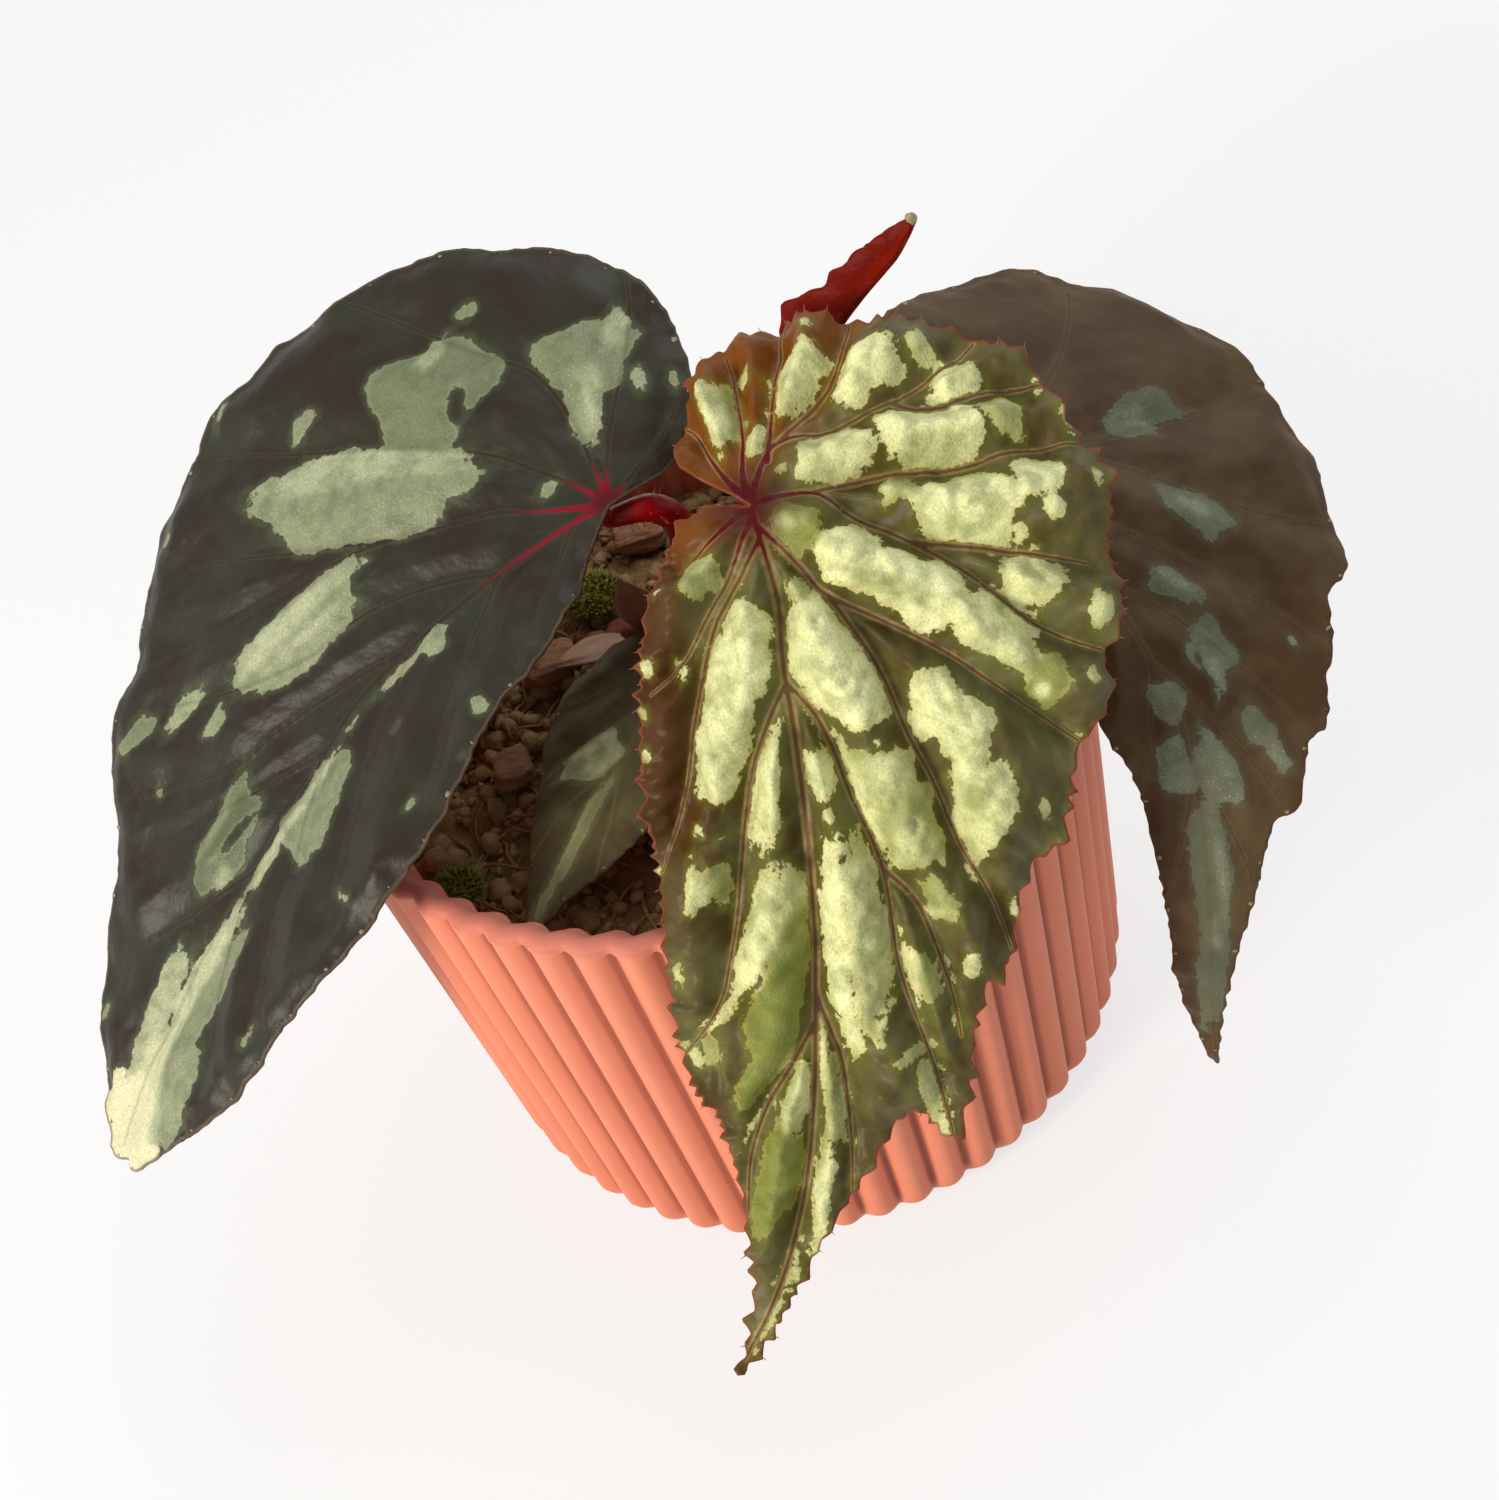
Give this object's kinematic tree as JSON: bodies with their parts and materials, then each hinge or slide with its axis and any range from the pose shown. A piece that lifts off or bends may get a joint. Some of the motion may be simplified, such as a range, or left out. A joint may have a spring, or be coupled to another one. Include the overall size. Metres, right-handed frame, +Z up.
{
  "type": "potted begonia",
  "caption": "Small foliage begonia with large pointed, silver-spotted leaves on red stalks, growing in soil in a fluted round terracotta-coloured pot with a flat base.",
  "frame": {"origin": "middle of the pot's flat base, where it rests on a surface", "axes": "+Z up along the pot's axis; -Y is the side that the middle leaf hangs over; +X is to the right seen from there"},
  "size_m": [0.156, 0.1226, 0.1094],
  "materials": {
    "pot": "matt, unglazed look",
    "soil": "rough, fibrous",
    "crown": "rough",
    "leaf_left": "satin leaf",
    "leaf_centre": "satin leaf",
    "leaf_right": "satin leaf",
    "leaf_lower": "satin leaf",
    "stalk": "glossy, fleshy",
    "young_leaf": "satin leaf",
    "stipule": "papery",
    "bark": "rough",
    "moss": "soft"
  },
  "bodies": {
    "root": {"pot": "pot", "soil": "soil", "crown": "crown", "petiole_left": "stalk", "petiole_centre": "stalk", "petiole_right": "stalk", "petiole_lower": "stalk", "petiole_young": "stalk", "leaf_left": "leaf_left", "leaf_centre": "leaf_centre", "leaf_right": "leaf_right", "leaf_lower": "leaf_lower", "young_leaf": "young_leaf", "stipule_upper": "stipule", "stipule_lower": "stipule", "stipule_back": "stipule", "bark_chip_1": "bark", "bark_chip_2": "bark", "bark_chip_3": "bark", "bark_chip_4": "bark", "bark_chip_5": "bark", "bark_chip_6": "bark", "bark_chip_7": "bark", "moss_tuft_1": "moss", "moss_tuft_2": "moss", "moss_tuft_3": "moss", "moss_tuft_4": "moss"}
  },
  "joints": []
}
